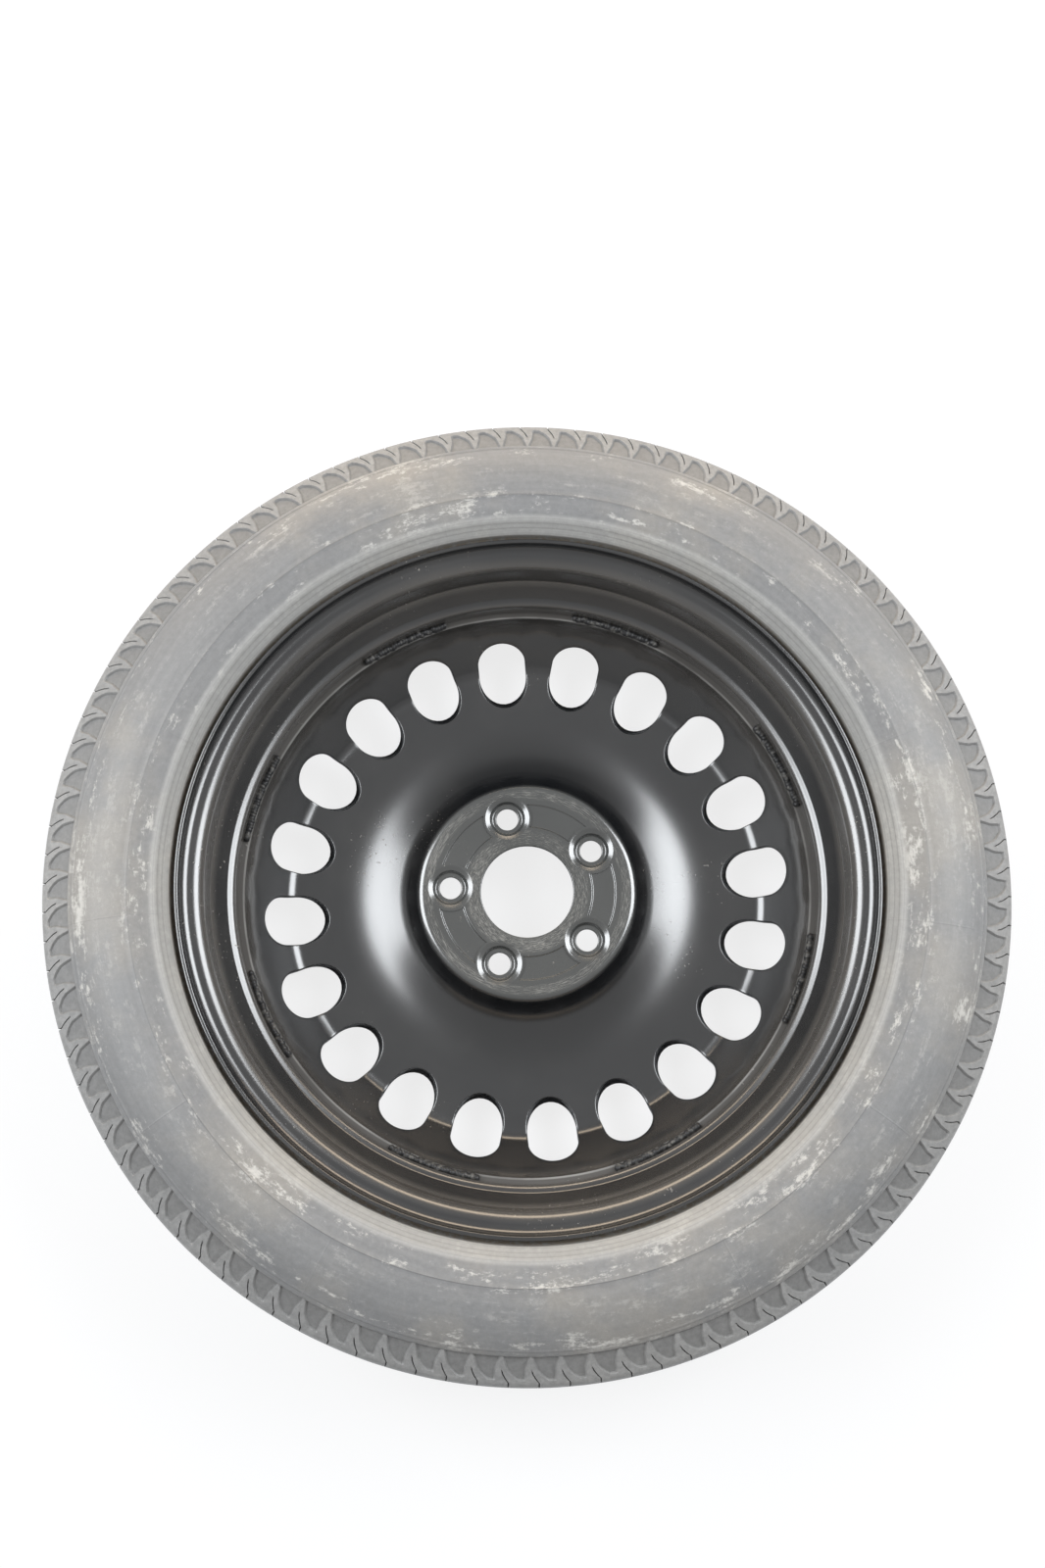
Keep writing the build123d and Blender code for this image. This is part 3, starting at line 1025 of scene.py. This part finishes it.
valve_angle = wheel_turn + pi
valve_axis = unit3((-cos(valve_angle), -sin(valve_angle), -1.0))
valve_across = np.array([-sin(valve_angle), cos(valve_angle), 0.0])
valve_origin = (
    on_wheel((well_radius + hump_radius) / 2, valve_angle, -(well_edge + hump_plane) / 2)[0]
    + valve_axis * rim_sheet
)
bulb_end = -11.0
rubber_length = 21.0
stem_length = 31.0
stem_radius = 3.85
stem_shank = 3.1
stem_chamfer = 0.6
thread_pitch = 0.705
thread_depth = 0.19
air_bore = 1.6
core_bore = 2.4
core_seat = 4.0
cap_radius = 5.2
cap_gap = 0.3
cap_above_stem = 2.6
cap_top_wall = 1.8
cap_ribs = 20
cap_rib_depth = 0.3
spring_start = 13.3
spring_height = 6.4
spring_pitch = 1.1
spring_radius = 1.35
spring_wire = 0.15
spring_steps, spring_sides = 140, 8


def on_valve(radius, turn, along):
    """Points from radius, turn and distance along the valve."""
    radius, turn, along = (part[..., None] for part in np.broadcast_arrays(radius, turn, along))
    out = np.cos(turn) * valve_across + np.sin(turn) * np.cross(valve_axis, valve_across)
    return (valve_origin + radius * out + along * valve_axis).reshape(-1, 3)


def valve_piece(name, section, count, material, depth=None):
    """A closed section turned about the valve, less a depth that follows radius, turn and distance."""
    section = np.asarray(section)
    radius, along = section[:, :1], section[:, 1:]
    turn = np.arange(count)[None, :] * 2 * pi / count
    if depth:
        radius = radius - depth(radius, turn, along)
    points = on_valve(radius, turn, along)
    return piece(name, smooth_mesh(name, points, grid_faces(len(section), count, True, True)), material)


def make_valve_body(rubber):
    """The rubber body: a bulb inside the rim, a neck through it and a tapered sleeve."""
    section = rounded(
        [
            (stem_shank, bulb_end),
            (6.6, bulb_end, 1.2),
            (9.5, -5.0, 1.0),
            (9.2, -3.3, 0.5),
            (5.65, -3.3, 0.4),
            (5.65, 0.3, 0.4),
            (7.7, 0.3, 0.6),
            (7.7, 1.8, 0.7),
            (6.4, 6.0, 5.0),
            (4.6, rubber_length, 0.6),
            (stem_shank, rubber_length),
        ],
        closed=True,
        step=radians(15),
    )
    return valve_piece("valve_sleeve", section, 64, rubber)


def make_stem(brass):
    """The brass stem with its fine outside thread."""
    thread_end = stem_length - stem_chamfer
    threaded = [(stem_radius, along) for along in np.linspace(rubber_length, thread_end, 108)]
    section = [(air_bore, bulb_end), (stem_shank, bulb_end), (stem_shank, rubber_length), *threaded]
    section += [(stem_radius - stem_chamfer, stem_length), (core_bore, stem_length)]
    section += [(core_bore, core_seat), (air_bore, core_seat)]

    def thread(radius, turn, along):
        reach = np.clip(np.minimum(along - rubber_length, thread_end - along) / stem_chamfer, 0, 1)
        wave = 1 - np.cos(2 * pi * along / thread_pitch - turn)
        return np.where(radius > stem_shank, thread_depth * reach * wave, 0.0)

    return valve_piece("stem", section, 48, brass, thread)


def make_cap(plastic):
    """The cap, with grip ribs down its side."""
    inside = stem_radius + cap_gap
    foot, top = rubber_length + cap_gap, stem_length + cap_above_stem
    section = rounded(
        [
            (inside, foot, 0.15),
            (cap_radius, foot, 0.4),
            (cap_radius, top - 0.6, 0.5),
            (4.4, top, 0.6),
            (0.02, top),
            (0.02, top - cap_top_wall),
            (inside, top - cap_top_wall, 0.3),
        ],
        closed=True,
        step=radians(15),
    )

    def ribs(radius, turn, along):
        side = np.clip((radius - 4.6) / 0.5, 0, 1)
        return cap_rib_depth * side * (0.5 - 0.5 * np.cos(cap_ribs * turn)) ** 2

    return valve_piece("cap", section, 240, plastic, ribs)


def make_spring(steel):
    """The core's spring, wound round its pin."""
    wound = np.linspace(0, 1, spring_steps)[:, None]
    round_wire = np.arange(spring_sides)[None, :] * 2 * pi / spring_sides
    points = on_valve(
        spring_radius + spring_wire * np.cos(round_wire),
        wound * spring_height / spring_pitch * 2 * pi,
        spring_start + wound * spring_height + spring_wire * np.sin(round_wire),
    )
    last = (spring_steps - 1) * spring_sides
    faces = grid_faces(spring_steps, spring_sides, False, True)
    faces += [tuple(range(spring_sides)), tuple(range(last, last + spring_sides))]
    spring = piece("spring", smooth_mesh("spring", points, faces), steel)
    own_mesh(spring)
    return spring


# Stage


def make_floor():
    """A white floor that keeps a soft shadow."""
    size = 9.0
    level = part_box("tyre")[0].z
    mesh = bpy.data.meshes.new("floor")
    corners = [(-size, -size, level), (size, -size, level), (size, size, level), (-size, size, level)]
    mesh.from_pydata(corners, [], [(0, 1, 2, 3)])
    material = bpy.data.materials.new("white_floor")
    material.use_nodes = True
    material.node_tree.nodes.clear()
    graph = Graph(material.node_tree)
    path = graph.node("ShaderNodeLightPath").socket.node
    seen = Value(graph, path.outputs["Is Camera Ray"])
    matt = graph.node("ShaderNodeBsdfDiffuse", inputs={"Color": (0.88, 0.89, 0.91, 1.0)})
    white = graph.node("ShaderNodeEmission", inputs={"Color": (1.0, 1.0, 1.0, 1.0), "Strength": 1.0})
    shade = graph.node("ShaderNodeMixShader", inputs={0: seen * 0.8, 1: matt, 2: white})
    graph.node("ShaderNodeOutputMaterial", inputs={0: shade})
    floor = piece("floor", mesh, material)


def soft_lamp(name, place, aim, width, length, level, colour):
    """A soft lamp that looks at a point, given the brightness of its face."""
    data = bpy.data.lights.new(name, "AREA")
    data.shape = "RECTANGLE"
    data.size = width
    data.size_y = length
    data.energy = level * pi * width * length
    data.color = colour
    lamp = bpy.data.objects.new(name, data)
    lamp.location = place
    lamp.rotation_euler = (Vector(aim) - Vector(place)).to_track_quat("-Z", "Y").to_euler()
    bpy.context.scene.collection.objects.link(lamp)


def make_light():
    """Cool lamps at both sides, a low warm one beyond the top, and a dim room."""
    cool, warm = (0.94, 0.97, 1.0), (1.0, 0.81, 0.6)
    soft_lamp("left_lamp", (-1.29, 0.26, 1.33), (0, 0.14, 0), 1.15, 1.35, 6.2, cool)
    soft_lamp("right_lamp", (1.29, 0.43, 1.33), (0, 0.23, 0), 1.1, 1.35, 6.5, cool)
    soft_lamp("warm_lamp", (0.0, 1.8, 0.55), (0, 0, 0), 3.0, 0.65, 3.6, warm)
    world = bpy.data.worlds.new("room")
    bpy.context.scene.world = world
    world.use_nodes = True
    world.node_tree.nodes.clear()
    graph = Graph(world.node_tree)
    path = graph.node("ShaderNodeLightPath").socket.node
    seen = Value(graph, path.outputs["Is Camera Ray"])
    room = 0.36
    level = room + (1 - room) * seen
    air = graph.node("ShaderNodeBackground", inputs={"Color": (1.0, 1.0, 1.0, 1.0), "Strength": level})
    graph.node("ShaderNodeOutputWorld", inputs={0: air})


def make_camera():
    """The camera above the wheel, a little towards its lower edge."""
    place = (-0.0208, -0.1713, 1.10827)
    forward = Vector((0.0154, 0.2159, -0.9763)).normalized()
    upwards = Vector((0.0, 0.9764, 0.2159))
    data = bpy.data.cameras.new("camera")
    data.lens = 37.08
    data.sensor_width = 36.0
    camera = bpy.data.objects.new("camera", data)
    bpy.context.scene.collection.objects.link(camera)
    bpy.context.scene.camera = camera
    right = forward.cross(upwards).normalized()
    turn = Matrix((right, right.cross(forward), -forward)).transposed()
    camera.matrix_world = Matrix.Translation(place) @ turn.to_4x4()


# Build


def build():
    rubber = tyre_rubber()
    paint = black_paint()
    steel = welded_steel()
    ring = ring_tree()
    valve_rubber = plain("valve_rubber", (0.022, 0.022, 0.023), 0.55)
    brass = plain("brass", (0.72, 0.52, 0.24), 0.3, 1.0)
    spring_steel = plain("spring_steel", (0.6, 0.6, 0.6), 0.3, 1.0)
    plastic = plain("black_plastic", (0.02, 0.02, 0.021), 0.45)
    dressed = [
        (make_rim(paint), "wheel", "rim", "black_paint"),
        (make_disc(paint, ring), "wheel", "wheel_disc", "black_paint"),
        (make_welds(steel), "wheel", "weld_beads", "black_paint"),
        (make_casing(rubber), "wheel", "tyre", "tyre_rubber"),
        (make_tread(rubber, ring), "wheel", "tyre", "tyre_rubber"),
        (make_valve_body(valve_rubber), "wheel", "valve_body", "valve_rubber"),
        (make_stem(brass), "wheel", "valve_stem", "brass"),
        (make_spring(spring_steel), "wheel", "core_spring", "spring_steel"),
        (make_cap(plastic), "cap", "valve_cap", "black_plastic"),
    ]
    for made, body, node, slot in dressed:
        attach(made, body)
        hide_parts(node)
    for node in ("core_body", "core_pin"):
        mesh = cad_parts[node].data
        mesh.materials.clear()
        mesh.materials.append(brass)


build()
make_floor()
make_light()
make_camera()
bpy.context.scene.view_settings.view_transform = "Standard"
